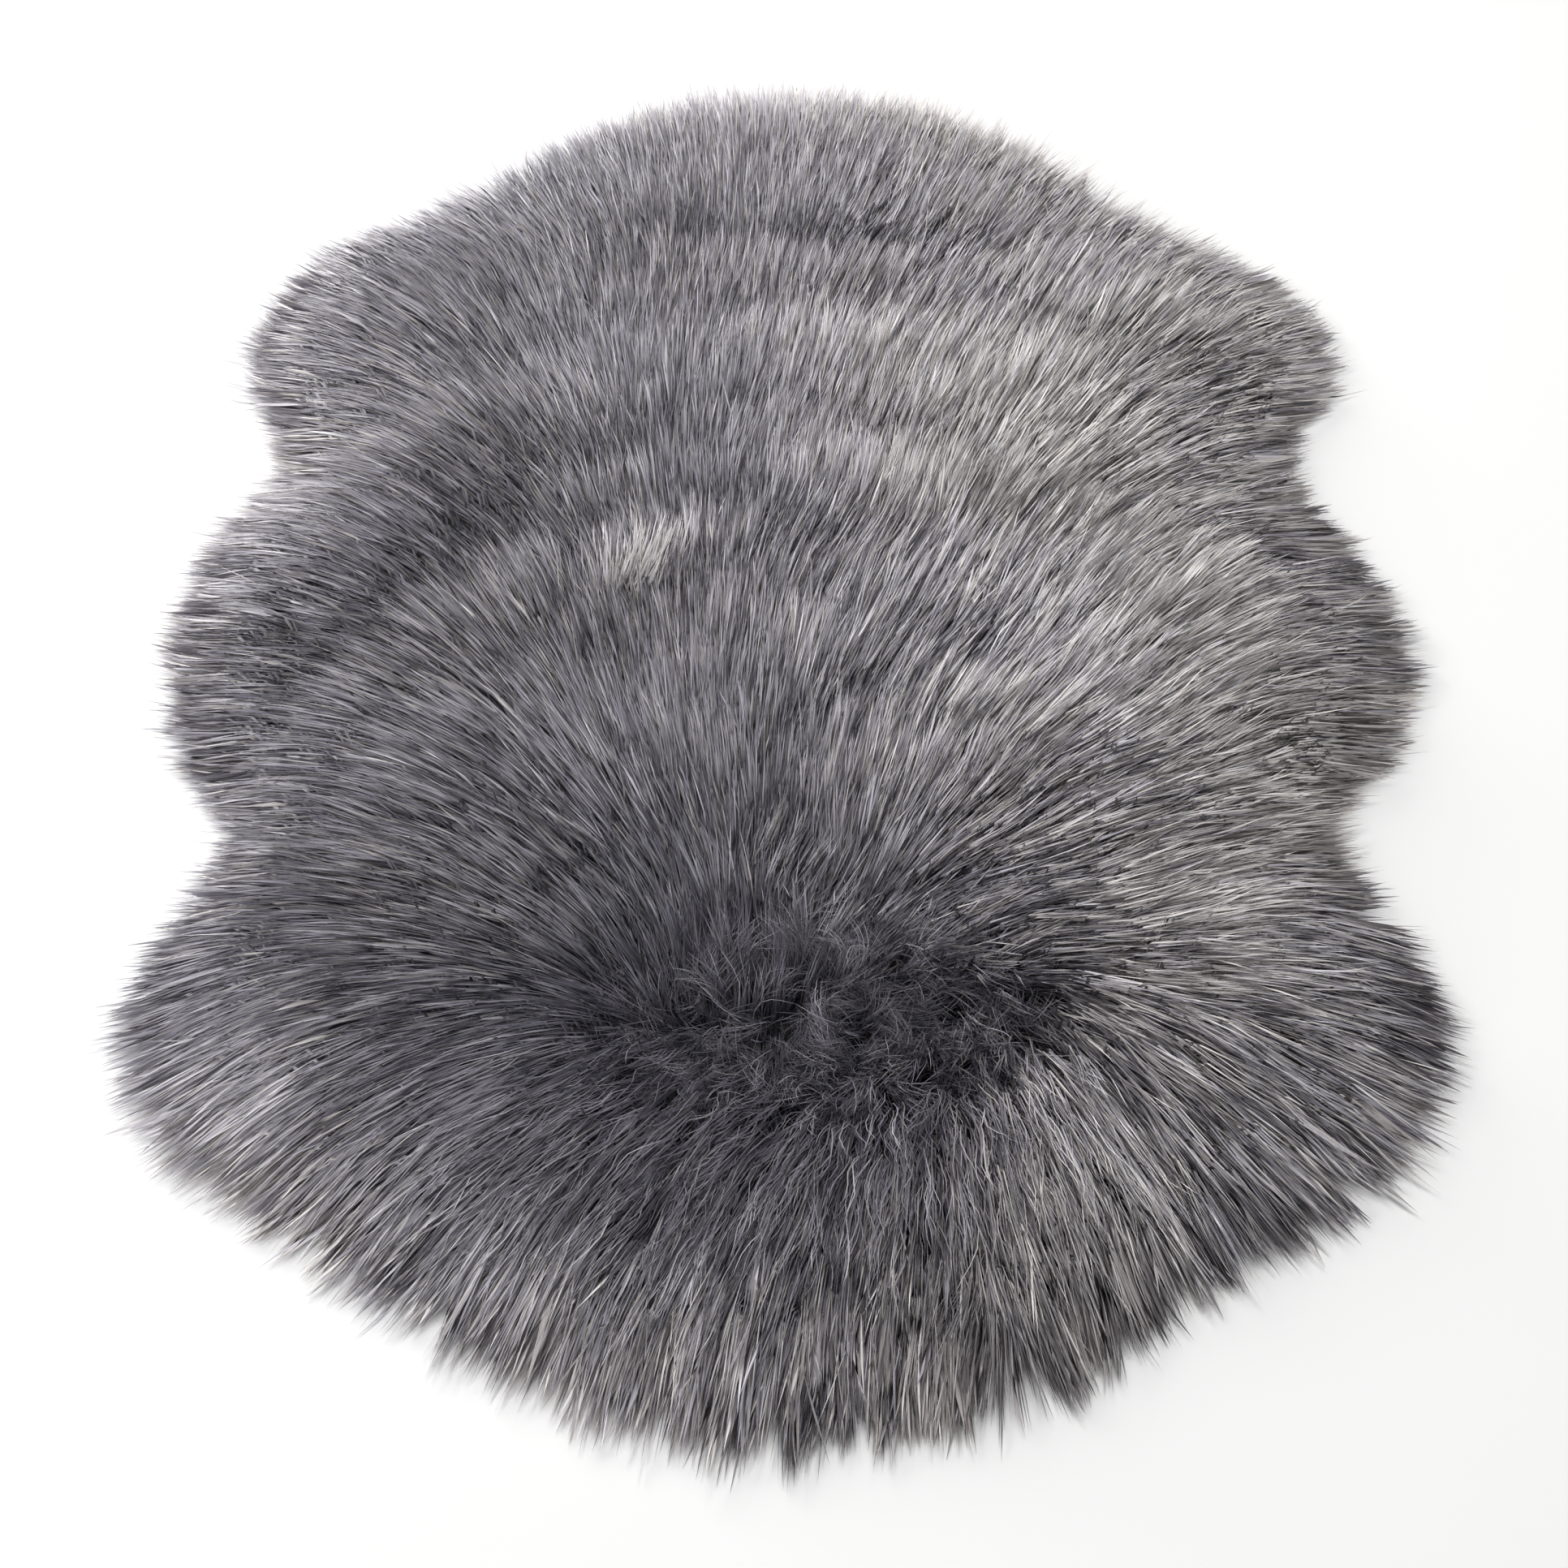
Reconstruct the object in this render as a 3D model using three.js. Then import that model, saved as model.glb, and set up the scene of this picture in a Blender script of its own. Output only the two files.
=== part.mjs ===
// A shag rug in the outline of a sheepskin: one cut of long-pile fabric lying flat on the floor.
// Its ground cloth and pile are one piece, so it is one solid, which reaches as far as the pile does.
// Millimetres, +Z up. +Y runs from the tail end to the head end, +X to the right.
// The origin is the middle of the flat underside.
import * as THREE from "three";

// ---- sizes -----------------------------------------------------------------
const PILE_HEIGHT = 47; // the crown of the standing pile above the floor
const SPINE_HALF = 155; // half of the middle line towards which the rim is inset
const RIM_TO_SPINE = 290; // distance from the rim to that line, nearly the same all round
const STEPS_PER_SPAN = 6; // outline points between two stations
const PILE_COLOUR = 0x7d7a80;

// The outline, from the tail end to the head end: half-widths to the left and to the right of the
// middle line at each station. A station with no width is an end on the middle line.
const OUTLINE = [
  { at: "tail end", y: -446, left: 0, right: 0 },
  { at: "tail crown", y: -440, left: 52, right: 52 },
  { at: "tail brow", y: -421, left: 101, right: 103 },
  { at: "tail hollow", y: -388, left: 150, right: 150 },
  { at: "rear shoulder", y: -352, left: 202, right: 204 },
  { at: "rear corner", y: -306, left: 256, right: 258 },
  { at: "rear lobe", y: -226, left: 286, right: 289 },
  { at: "rear waist", y: -126, left: 256, right: 258 },
  { at: "middle lobe, rear", y: -62, left: 284, right: 288 },
  { at: "middle lobe", y: 2, left: 296, right: 303 },
  { at: "middle lobe, front", y: 64, left: 281, right: 285 },
  { at: "front waist", y: 126, left: 253, right: 262 },
  { at: "front lobe", y: 222, left: 280, right: 294 },
  { at: "front corner", y: 298, left: 246, right: 252 },
  { at: "front shoulder", y: 340, left: 190, right: 193 },
  { at: "head hollow", y: 378, left: 146, right: 156 },
  { at: "head brow", y: 415, left: 100, right: 108 },
  { at: "head crown", y: 436, left: 50, right: 54 },
  { at: "head end", y: 443, left: 0, right: 0 },
];

// The section of the pile across its rim, from the edge of the underside over the tips that
// overhang it and up to the crown: distance in from the rim, and share of the pile's height.
const RIM_SECTION = [
  { at: "edge of the underside", inset: 12, rise: 0 },
  { at: "under the tips", inset: 3, rise: 0.07 },
  { at: "outermost tips", inset: 0, rise: 0.19 },
  { at: "over the tips", inset: 3, rise: 0.35 },
  { at: "lower shoulder", inset: 11, rise: 0.54 },
  { at: "upper shoulder", inset: 24, rise: 0.71 },
  { at: "edge of the crown", inset: 44, rise: 0.85 },
  { at: "outer crown", inset: 74, rise: 0.94 },
  { at: "crown", inset: 110, rise: 0.985 },
  { at: "crown", inset: 150, rise: 1 },
  { at: "crown", inset: 190, rise: 1 },
  { at: "crown", inset: 230, rise: 1 },
  { at: "along the middle line", inset: 268, rise: 1 },
];

// Where the pile parts or lies in waves the crown dips: soft oval troughs.
const TROUGHS = [
  { at: "whorl", x: 12, y: -205, halfX: 95, halfY: 48, depth: 6 },
  { at: "front parting", x: 40, y: 118, halfX: 190, halfY: 26, depth: 5 },
  { at: "middle wave", x: -70, y: 48, halfX: 130, halfY: 24, depth: 3.5 },
  { at: "right wave", x: 96, y: -62, halfX: 110, halfY: 28, depth: 3.5 },
  { at: "head wave", x: -20, y: 262, halfX: 150, halfY: 28, depth: 4 },
];

// ---- outline ---------------------------------------------------------------
// Up the right side from the tail to the head and back down the left side.
const middle = OUTLINE.slice(1, -1);
const stations = [
  new THREE.Vector3(0, OUTLINE[0].y, 0),
  ...middle.map((s) => new THREE.Vector3(s.right, s.y, 0)),
  new THREE.Vector3(0, OUTLINE[OUTLINE.length - 1].y, 0),
  ...middle.map((s) => new THREE.Vector3(-s.left, s.y, 0)).reverse(),
];
const curve = new THREE.CatmullRomCurve3(stations, true, "centripetal");
const AROUND = stations.length * STEPS_PER_SPAN;
const outline = [];
for (let i = 0; i < AROUND; i++) outline.push(curve.getPoint(i / AROUND));

// The outline's box, so that the origin is its middle.
const box = new THREE.Box3().setFromPoints(outline);
const centre = box.getCenter(new THREE.Vector3());

// ---- surface ---------------------------------------------------------------
const smooth = (t) => {
  const c = THREE.MathUtils.clamp(t, 0, 1);
  return c * c * (3 - 2 * c);
};

function insetPoint(p, inset) {
  const y = THREE.MathUtils.clamp(p.y, -SPINE_HALF, SPINE_HALF);
  const share = 1 - inset / RIM_TO_SPINE;
  return new THREE.Vector3(p.x * share, y + (p.y - y) * share, 0);
}

function troughDepth(x, y) {
  let depth = 0;
  for (const t of TROUGHS) {
    const r = Math.hypot((x - t.x) / t.halfX, (y - t.y) / t.halfY);
    depth = Math.max(depth, t.depth * smooth(1 - r / 1.4));
  }
  return depth;
}

const rings = RIM_SECTION.map((row) =>
  outline.map((p) => {
    const q = insetPoint(p, row.inset);
    const crown = smooth((row.inset - 30) / 60);
    q.z = PILE_HEIGHT * row.rise - crown * troughDepth(q.x, q.y);
    return q;
  }),
);

const positions = [];
for (const ring of rings)
  for (const q of ring) positions.push(q.x - centre.x, q.y - centre.y, q.z);

const index = [];
const at = (ring, i) => ring * AROUND + (i % AROUND);
for (let r = 0; r + 1 < rings.length; r++)
  for (let i = 0; i < AROUND; i++)
    index.push(
      at(r, i), at(r, i + 1), at(r + 1, i + 1),
      at(r, i), at(r + 1, i + 1), at(r + 1, i),
    );

// Each cap is a strip from the right side to the left side.
function cap(ring, facingUp) {
  for (let i = 0; i < AROUND / 2; i++) {
    const a = at(ring, i), b = at(ring, i + 1);
    const c = at(ring, AROUND - i - 1), d = at(ring, AROUND - i);
    const faces = [];
    if (i > 0) faces.push([a, b, d]);
    if (i < AROUND / 2 - 1) faces.push([b, c, d]);
    for (const [u, v, w] of faces) index.push(...(facingUp ? [u, v, w] : [u, w, v]));
  }
}
cap(0, false);
cap(rings.length - 1, true);

const geometry = new THREE.BufferGeometry();
geometry.setAttribute("position", new THREE.Float32BufferAttribute(positions, 3));
geometry.setIndex(index);
geometry.computeVertexNormals();

const pileFabric = new THREE.Mesh(
  geometry,
  new THREE.MeshStandardMaterial({ color: PILE_COLOUR, roughness: 0.95, metalness: 0 }),
);
pileFabric.name = "pile_fabric";

const rug = new THREE.Group();
rug.name = "shag_rug";
rug.add(pileFabric);

export default rug;
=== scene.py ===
import math

import bpy
import numpy as np
from mathutils import Matrix, Vector


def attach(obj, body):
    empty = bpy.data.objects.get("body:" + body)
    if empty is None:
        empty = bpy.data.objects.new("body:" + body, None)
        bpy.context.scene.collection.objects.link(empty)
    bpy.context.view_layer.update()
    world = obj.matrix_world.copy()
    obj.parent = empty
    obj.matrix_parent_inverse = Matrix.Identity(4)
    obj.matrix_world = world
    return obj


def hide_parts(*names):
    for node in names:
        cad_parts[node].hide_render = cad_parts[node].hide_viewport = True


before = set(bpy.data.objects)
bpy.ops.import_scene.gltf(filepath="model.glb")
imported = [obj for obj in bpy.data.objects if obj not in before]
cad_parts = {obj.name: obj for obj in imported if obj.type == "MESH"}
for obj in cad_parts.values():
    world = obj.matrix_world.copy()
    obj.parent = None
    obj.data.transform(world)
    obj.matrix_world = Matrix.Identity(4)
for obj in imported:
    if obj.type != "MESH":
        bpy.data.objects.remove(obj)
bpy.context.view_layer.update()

# ---------------------------------------------------------------------------
# A shag rug: a thin ground cloth, and the pile that is tufted into it. The pile is made as joined
# ribbons: each strand is a tapered strip from its root in the ground cloth to its tip. Strands gather
# in pointed locks, locks in tufts, and all of them follow one combed flow that starts from a whorl.
# Sizes are in millimetres up to the point where a mesh is made.
# ---------------------------------------------------------------------------

MM = 0.001
SPINE_HALF = 155.0
GROUND_THICKNESS = 2.4
WHORL = np.array((4.0, -190.0))  # from here the pile is combed outwards
STANDING = (14.0, -243.0, 112.0, 64.0)  # where it stands and curls: middle and half-widths
TIP_AHEAD = 32.0  # how far in front of its root the visible end of a strand lies
CEILING = 43.0  # above this height strands are bent over

# The outline of the pile, tail end to head end: name, y, half-width left, half-width right.
OUTLINE = [
    ("tail end", -446, 0, 0),
    ("tail crown", -440, 52, 52),
    ("tail brow", -421, 101, 103),
    ("tail hollow", -388, 150, 150),
    ("rear shoulder", -352, 202, 204),
    ("rear corner", -306, 256, 258),
    ("rear lobe", -226, 286, 289),
    ("rear waist", -126, 256, 258),
    ("middle lobe, rear", -62, 284, 288),
    ("middle lobe", 2, 296, 303),
    ("middle lobe, front", 64, 281, 285),
    ("front waist", 126, 253, 262),
    ("front lobe", 222, 280, 294),
    ("front corner", 298, 246, 252),
    ("front shoulder", 340, 190, 193),
    ("head hollow", 378, 146, 156),
    ("head brow", 415, 100, 108),
    ("head crown", 436, 50, 54),
    ("head end", 443, 0, 0),
]

rng = np.random.default_rng(20417)


# ---- outline --------------------------------------------------------------
def closed_curve(points, steps):
    """A closed centripetal Catmull-Rom curve through the points."""
    p = np.asarray(points, float)
    out = []
    n = len(p)
    for i in range(n):
        p0, p1, p2, p3 = p[i - 1], p[i], p[(i + 1) % n], p[(i + 2) % n]
        d = [np.sqrt(np.hypot(*(b - a))) for a, b in ((p0, p1), (p1, p2), (p2, p3))]
        m1 = ((p1 - p0) / d[0] - (p2 - p0) / (d[0] + d[1]) + (p2 - p1) / d[1]) * d[1]
        m2 = ((p2 - p1) / d[1] - (p3 - p1) / (d[1] + d[2]) + (p3 - p2) / d[2]) * d[1]
        t = (np.arange(steps) / steps)[:, None]
        out.append(
            (2 * t**3 - 3 * t**2 + 1) * p1
            + (t**3 - 2 * t**2 + t) * m1
            + (-2 * t**3 + 3 * t**2) * p2
            + (t**3 - t**2) * m2
        )
    return np.concatenate(out)


_mid = OUTLINE[1:-1]
_stations = (
    [(0, OUTLINE[0][1])]
    + [(r, y) for _, y, l, r in _mid]
    + [(0, OUTLINE[-1][1])]
    + [(-l, y) for _, y, l, r in reversed(_mid)]
)
outline = closed_curve(_stations, 8)
CENTRE = (outline.min(0) + outline.max(0)) / 2


# ---- noise ----------------------------------------------------------------
def noise(x, y, z, seed):
    """Smooth gradient noise, about -1 to 1."""
    table = np.random.default_rng(seed)
    perm = table.permutation(256)
    g = table.normal(size=(256, 3))
    g /= np.linalg.norm(g, axis=1)[:, None]
    p = np.stack(np.broadcast_arrays(x, y, z), -1).astype(float)
    i = np.floor(p).astype(int)
    f = p - i
    w = f * f * f * (f * (f * 6 - 15) + 10)
    out = 0
    for dx in (0, 1):
        for dy in (0, 1):
            for dz in (0, 1):
                h = perm[(perm[(perm[(i[..., 0] + dx) & 255] + i[..., 1] + dy) & 255] + i[..., 2] + dz) & 255]
                d = f - (dx, dy, dz)
                dot = (g[h] * d).sum(-1)
                wx = w[..., 0] if dx else 1 - w[..., 0]
                wy = w[..., 1] if dy else 1 - w[..., 1]
                wz = w[..., 2] if dz else 1 - w[..., 2]
                out = out + dot * wx * wy * wz
    return np.clip(out * 1.7, -1, 1)


def smooth(t):
    t = np.clip(t, 0, 1)
    return t * t * (3 - 2 * t)


# ---- the lie of the pile --------------------------------------------------
def inside(poly, x, y):
    """Which points lie inside the closed polygon."""
    hit = np.zeros(len(x), bool)
    for (x0, y0), (x1, y1) in zip(poly, np.roll(poly, -1, 0)):
        if y0 == y1:
            continue
        crosses = (y0 > y) != (y1 > y)
        k = np.flatnonzero(crosses)
        hit[k] ^= x[k] < (x1 - x0) * (y[k] - y0) / (y1 - y0) + x0
    return hit


def edge_distance(poly, x, y):
    """Distance in from the polygon's edge, negative outside it."""
    p = np.stack([x, y], 1)[:, None]
    a = poly[None]
    d = np.roll(poly, -1, 0)[None] - a
    t = np.clip(((p - a) * d).sum(-1) / (d * d).sum(-1), 0, 1)
    dist = np.linalg.norm(p - a - t[..., None] * d, axis=-1).min(1)
    return np.where(inside(poly, x, y), dist, -dist)


def flow(x, y, d):
    """Direction in which the pile is combed, in radians, d in from the outline."""
    # The two halves part along a line that dips towards the viewer left of the whorl.
    dip = np.exp(-(((x - WHORL[0] + 30) / 110) ** 2)) * (48 - 0.22 * (x - WHORL[0]))
    dy = y - WHORL[1] + dip
    # The near half starts further to the right than the far half, so the pile swirls between them.
    start = WHORL[0] - 22 * smooth(1 - np.abs(dy - 15) / 70) + 62 * smooth(-dy / 60)
    dx = x - start
    line = 42 * np.exp(-np.abs(dy) / 75)  # beside the whorl it starts from a line rather than a point
    dx = dx - line * np.tanh(dx / line)
    near = np.where(dx < 0, 0.46, 0.88)
    away = np.arctan2(dy, dx * np.where(dy < 0, near, 0.95))
    far = smooth((dy - 20) / 160)
    away = away - math.radians(15) * far * smooth(1 - np.abs(x - 40) / 260) * (1 - 0.5 * smooth((y - 220) / 120))
    away = away + math.radians(9) * far * smooth(1 - np.abs(x + 200) / 150)
    # Towards the sides and ends it turns to the outline's own way out.
    out = np.arctan2(y - np.clip(y, -SPINE_HALF, SPINE_HALF), x)
    turn = (0.22 + 0.34 * far) * smooth(1 - d / 190)
    vx = np.cos(away) * (1 - turn) + np.cos(out) * turn
    vy = np.sin(away) * (1 - turn) + np.sin(out) * turn
    return np.arctan2(vy, vx)


# How far the outermost strands reach past the cut edge of the ground cloth, more or less by side.
_phi = flow(outline[:, 0], outline[:, 1], np.zeros(len(outline)))
_x, _y = outline.T
_waist = smooth(1.2 - np.abs(np.abs(_y) - 126) / 50) * smooth((np.abs(_x) - 120) / 80)
_reach = (45 - 9 * smooth(-_x / 190) * smooth((_y + 340) / 80) * smooth((340 - _y) / 60) - 3 * smooth(_x / 190)
          - 6 * smooth((_y - 250) / 120) * smooth(1.4 - np.abs(_x) / 120) + 4 * smooth((-_y - 250) / 120) + 4 * _waist
          - 7 * smooth((-_x - 60) / 100) * smooth((_y - 20) / 60))
ground_edge = outline - _reach[:, None] * np.stack([np.cos(_phi), np.sin(_phi)], 1)
# Rounded, as the cloth is cut in one sweep of the blade.
for _ in range(6):
    ground_edge = (np.roll(ground_edge, 1, 0) + 2 * ground_edge + np.roll(ground_edge, -1, 0)) / 4

# Places where the pile was ruffled, by where the tips lie: name, x, y, half-length across the combing,
# half-length along it, degrees by which it stands up more, degrees by which it turns, change of tone. The change of
# tone is painted light and shade: painted highlight on the lips and light places, painted shade in the troughs,
# hollows and shaded places.
RUFFLES = [
    ("front lip", 114, 87, 150, 15, 20, 0, 0.25),
    ("front trough", 100, 111, 150, 14, -17, 3, -0.28),
    ("front lip, left", -20, 132, 60, 13, 12, -5, 0.12),
    ("left tuft", -80, 46, 24, 10, 24, -30, 0.95),
    ("left hollow", -92, 76, 70, 14, -16, 8, -0.24),
    ("left shade", -110, 120, 70, 17, -12, 6, -0.12),
    ("left edge lip", -180, -15, 76, 13, 15, 4, 0.20),
    ("left edge trough", -216, -6, 66, 13, -15, 4, -0.22),
    ("left dark", -160, 76, 46, 13, -6, 8, -0.10),
    ("middle lip", 66, -34, 60, 14, 14, -8, 0.18),
    ("middle trough", 86, -70, 54, 13, -14, 4, -0.20),
    ("middle hollow", -8, -60, 38, 10, -9, 0, -0.09),
    ("right trough", 176, -124, 34, 10, -16, -8, -0.30),
    ("right bright", 150, -186, 44, 26, 6, 0, 0.14),
    ("whorl lip", 32, -168, 46, 11, 10, -26, 0.14),
    ("front bright", 40, 184, 80, 22, 10, 0, 0.10),
    ("front dark", -60, 226, 80, 13, -8, 0, -0.07),
    ("head hollow", 15, 298, 110, 16, -15, 4, -0.26),
    ("head lip", 20, 268, 115, 14, 12, 0, 0.12),
    ("head wave", 90, 345, 90, 12, -8, 0, -0.08),
    ("far right wave", 190, 262, 60, 12, -10, 0, -0.09),
    ("far right lip", 180, 236, 70, 12, 10, 0, 0.09),
    ("right wave", 215, 150, 60, 11, -10, 0, -0.10),
    ("middle right lip", 190, 10, 60, 12, 10, 0, 0.08),
    ("middle right wave", 205, 42, 60, 11, -10, 0, -0.09),
    ("near left tuft", -226, -300, 34, 14, 8, 0, 0.12),
    ("near tuft", -130, -372, 34, 14, 8, 0, 0.10),
    ("near hollow", -49, -352, 34, 11, -10, 10, -0.22),
    ("tail parting", 96, -396, 12, 24, -14, 0, -0.20),
    ("front middle", 90, 204, 130, 40, 3, 0, 0.15),
    ("front middle, right", 165, 132, 75, 34, 3, 0, 0.16),
    ("front middle, left", -125, 132, 90, 36, -2, 0, -0.13),
    ("head, left", -120, 285, 90, 36, -2, 0, -0.13),
    ("middle, right", 95, -52, 60, 30, 3, 0, 0.15),
    ("middle, left", -65, -119, 130, 36, -3, 0, -0.21),
    ("left of the whorl", -135, -172, 70, 60, -2, 0, -0.13),
    ("tail, right of middle", 135, -338, 46, 46, 3, 0, 0.18),
    ("tail, left of middle", -80, -335, 46, 46, -2, 0, -0.14),
    ("head dark", 10, 281, 70, 26, -3, 0, -0.10),
    ("head light", 90, 281, 50, 30, 2, 0, 0.07),
    ("front light", 40, 204, 70, 22, 2, 0, 0.07),
    ("front left shade", -178, 130, 40, 36, -2, 0, -0.13),
    ("front shade", -55, 131, 40, 26, -2, 0, -0.10),
    ("middle left shade", -172, 62, 40, 30, -2, 0, -0.10),
    ("middle right shade", 160, 62, 60, 22, -3, 0, -0.12),
    ("middle shade", 66, 0, 30, 20, -3, 0, -0.10),
    ("left shade, rear", -160, -118, 34, 30, -2, 0, -0.13),
    ("middle rear shade", 6, -118, 34, 26, -3, 0, -0.12),
    ("above the whorl", -48, -172, 34, 26, -2, 0, -0.20),
    ("above the whorl, right", 62, -165, 34, 22, -2, 0, -0.10),
    ("left end shade", -205, -185, 40, 34, -2, 0, -0.13),
    ("left of the whorl, rear", -80, -240, 50, 40, -2, 0, -0.11),
    ("tail, left", -96, -320, 34, 24, -3, 0, -0.10),
    ("tail, middle", 54, -318, 34, 26, -2, 0, -0.18),
    ("tail end shade", 8, -440, 60, 26, 0, 0, -0.12),
    ("right end light", 232, -60, 30, 26, 2, 0, 0.08),
]


# Where neighbouring locks part: name, x, y, half-width, half-length, degrees by which each side turns away.
PARTINGS = [
    ("tail, right", 96, -396, 17, 26, 17),
    ("tail, left", -62, -362, 14, 20, 14),
    ("tail, far left", -205, -335, 13, 20, 12),
    ("left", -196, -140, 12, 26, 10),
    ("right", 205, -250, 13, 26, 12),
    ("rear right", 262, -170, 12, 20, 12),
]


# Broad patches of lighter and darker fibre, partly the fibre's own tone and partly painted light and shade where
# light falls across the rug: name, x, y, half-width, half-length, change of tone.
PATCHES = [
    ("head", 60, 380, 180, 120, 0.14),
    ("head right", 70, 290, 120, 110, 0.17),
    ("head end", 30, 410, 120, 50, 0.13),
    ("head left", -190, 330, 110, 110, -0.14),
    ("right half", 190, 60, 220, 330, 0.10),
    ("rear edge", 0, -420, 330, 60, -0.06),
    ("front right", 170, 230, 190, 190, 0.16),
    ("front lip", 130, 100, 90, 45, 0.12),
    ("middle right", 150, 20, 170, 150, 0.14),
    ("right", 170, -80, 90, 250, 0.20),
    ("rear right", 225, -180, 110, 110, 0.04),
    ("middle", 40, 80, 140, 120, 0.02),
    ("front left", -190, 210, 90, 80, -0.08),
    ("middle left", -100, -40, 150, 150, -0.14),
    ("left", -230, -150, 130, 200, -0.15),
    ("whorl", 25, -235, 150, 105, -0.30),
    ("whorl, right", 55, -245, 70, 55, -0.14),
    ("whorl top", 24, -200, 40, 14, 0.20),
    ("rear left", -150, -240, 150, 120, -0.12),
    ("below the whorl", 20, -330, 130, 60, -0.14),
    ("tail left", -200, -310, 90, 70, 0.06),
    ("tail", -20, -420, 200, 60, 0.04),
    ("whorl, middle", 18, -246, 62, 44, -0.13),
    ("rear right fold", 128, -284, 56, 52, 0.19),
    ("behind the fold", 130, -340, 56, 40, -0.14),
    ("rear right corner", 176, -310, 46, 40, -0.09),
    ("right of the whorl", 142, -184, 46, 52, -0.10),
    ("left of the whorl", -118, -190, 76, 46, 0.11),
    ("rear left rim", -220, -255, 46, 76, 0.24),
    ("rear right rim", 228, -270, 42, 60, 0.15),
    ("tail lock", 45, -372, 32, 34, 0.13),
    ("past the tail lock", 86, -377, 32, 34, -0.07),
]


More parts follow.
